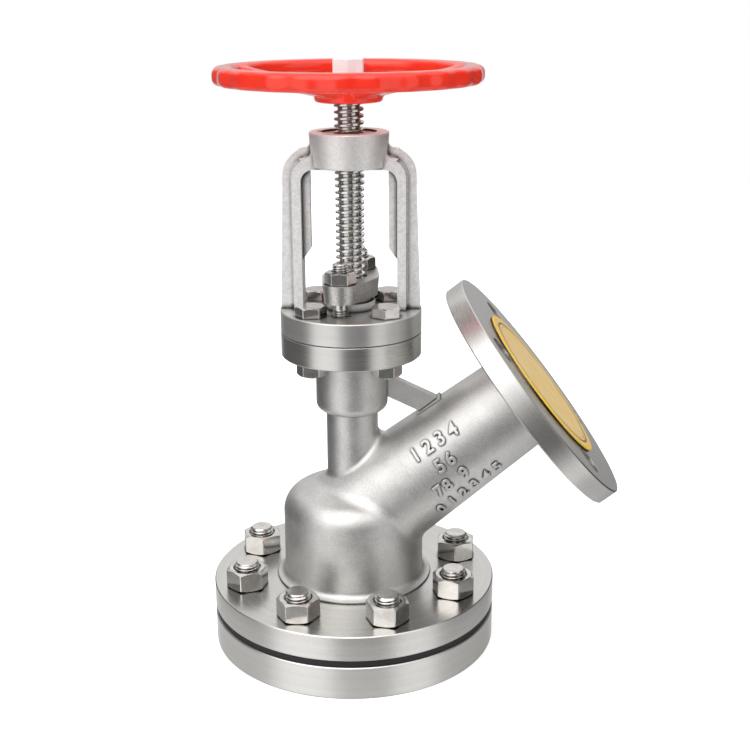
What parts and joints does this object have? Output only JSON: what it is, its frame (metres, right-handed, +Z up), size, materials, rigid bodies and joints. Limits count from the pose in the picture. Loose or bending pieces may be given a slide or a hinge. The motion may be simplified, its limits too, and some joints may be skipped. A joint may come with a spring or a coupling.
{
  "type": "discharge valve",
  "caption": "Flanged slanting-outlet discharge valve that closes flush with a vessel bottom, with yoke, rising threaded stem and handwheel.",
  "frame": {"origin": "centre of the vessel flange's lower face, where the closed disc ends flush", "axes": "+Z up along the stem towards the handwheel; the outlet branch rises towards +X in the XZ plane; +Y completes the right-handed frame"},
  "size_m": [0.263, 0.185, 0.3743],
  "materials": {
    "cast_stainless": "bead-blasted casting",
    "machined_stainless": "turned",
    "fastener_stainless": "polished",
    "bright_stem": "bright machined",
    "zinc": "bright zinc plated",
    "bronze": "machined",
    "black_rubber": "matt",
    "graphite": "matt",
    "ptfe": "satin",
    "red_paint": "gloss",
    "yellow_plastic": "moulded"
  },
  "bodies": {
    "valve": {"tank_flange": "machined_stainless", "flange_gasket": "black_rubber", "seat_ring": "machined_stainless", "valve_body": "cast_stainless", "body_neck": "cast_stainless", "outlet_branch": "cast_stainless", "flange_studs": "fastener_stainless", "flange_nuts": "fastener_stainless", "bonnet_gasket": "graphite", "bonnet_yoke": "cast_stainless", "bonnet_bolts": "fastener_stainless", "bonnet_nuts": "fastener_stainless", "backseat_bush": "machined_stainless", "packing_washer": "machined_stainless", "packing_rings": "ptfe", "gland_studs": "fastener_stainless", "stem_nut": "bronze", "stem_nut_lock_screw": "fastener_stainless"},
    "disc": {"disc": "machined_stainless", "disc_seal": "ptfe", "seal_plate": "machined_stainless", "seal_plate_screws": "fastener_stainless", "disc_nut": "machined_stainless"},
    "stem": {"stem": "bright_stem", "handwheel": "red_paint", "wheel_washer": "zinc", "wheel_nut": "zinc"},
    "gland": {"gland_follower": "machined_stainless", "gland_flange": "cast_stainless", "gland_nuts": "fastener_stainless"},
    "cover": {"outlet_cover": "yellow_plastic"}
  },
  "joints": [
    {"name": "stem_lift", "type": "slide", "parent": "valve", "child": "disc", "axis": [0, 0, 1], "range_m": [0, 0.036]},
    {"name": "handwheel_turn", "type": "hinge", "parent": "disc", "child": "stem", "pos_m": [0, 0, 0.36], "axis": [0, 0, 1], "range_deg": [0, 3240]},
    {"name": "gland_take_up", "type": "slide", "parent": "valve", "child": "gland", "axis": [0, 0, -1], "range_m": [0, 0.002], "deforming": ["packing_rings"]},
    {"name": "cover_off", "type": "slide", "parent": "valve", "child": "cover", "axis": [0.7875, 0, 0.6163], "range_m": [0, 0.06]}
  ],
  "couplings": [
    {"joint": "stem_lift", "follows": "handwheel_turn", "m_per_rad": 0.0006366}
  ]
}
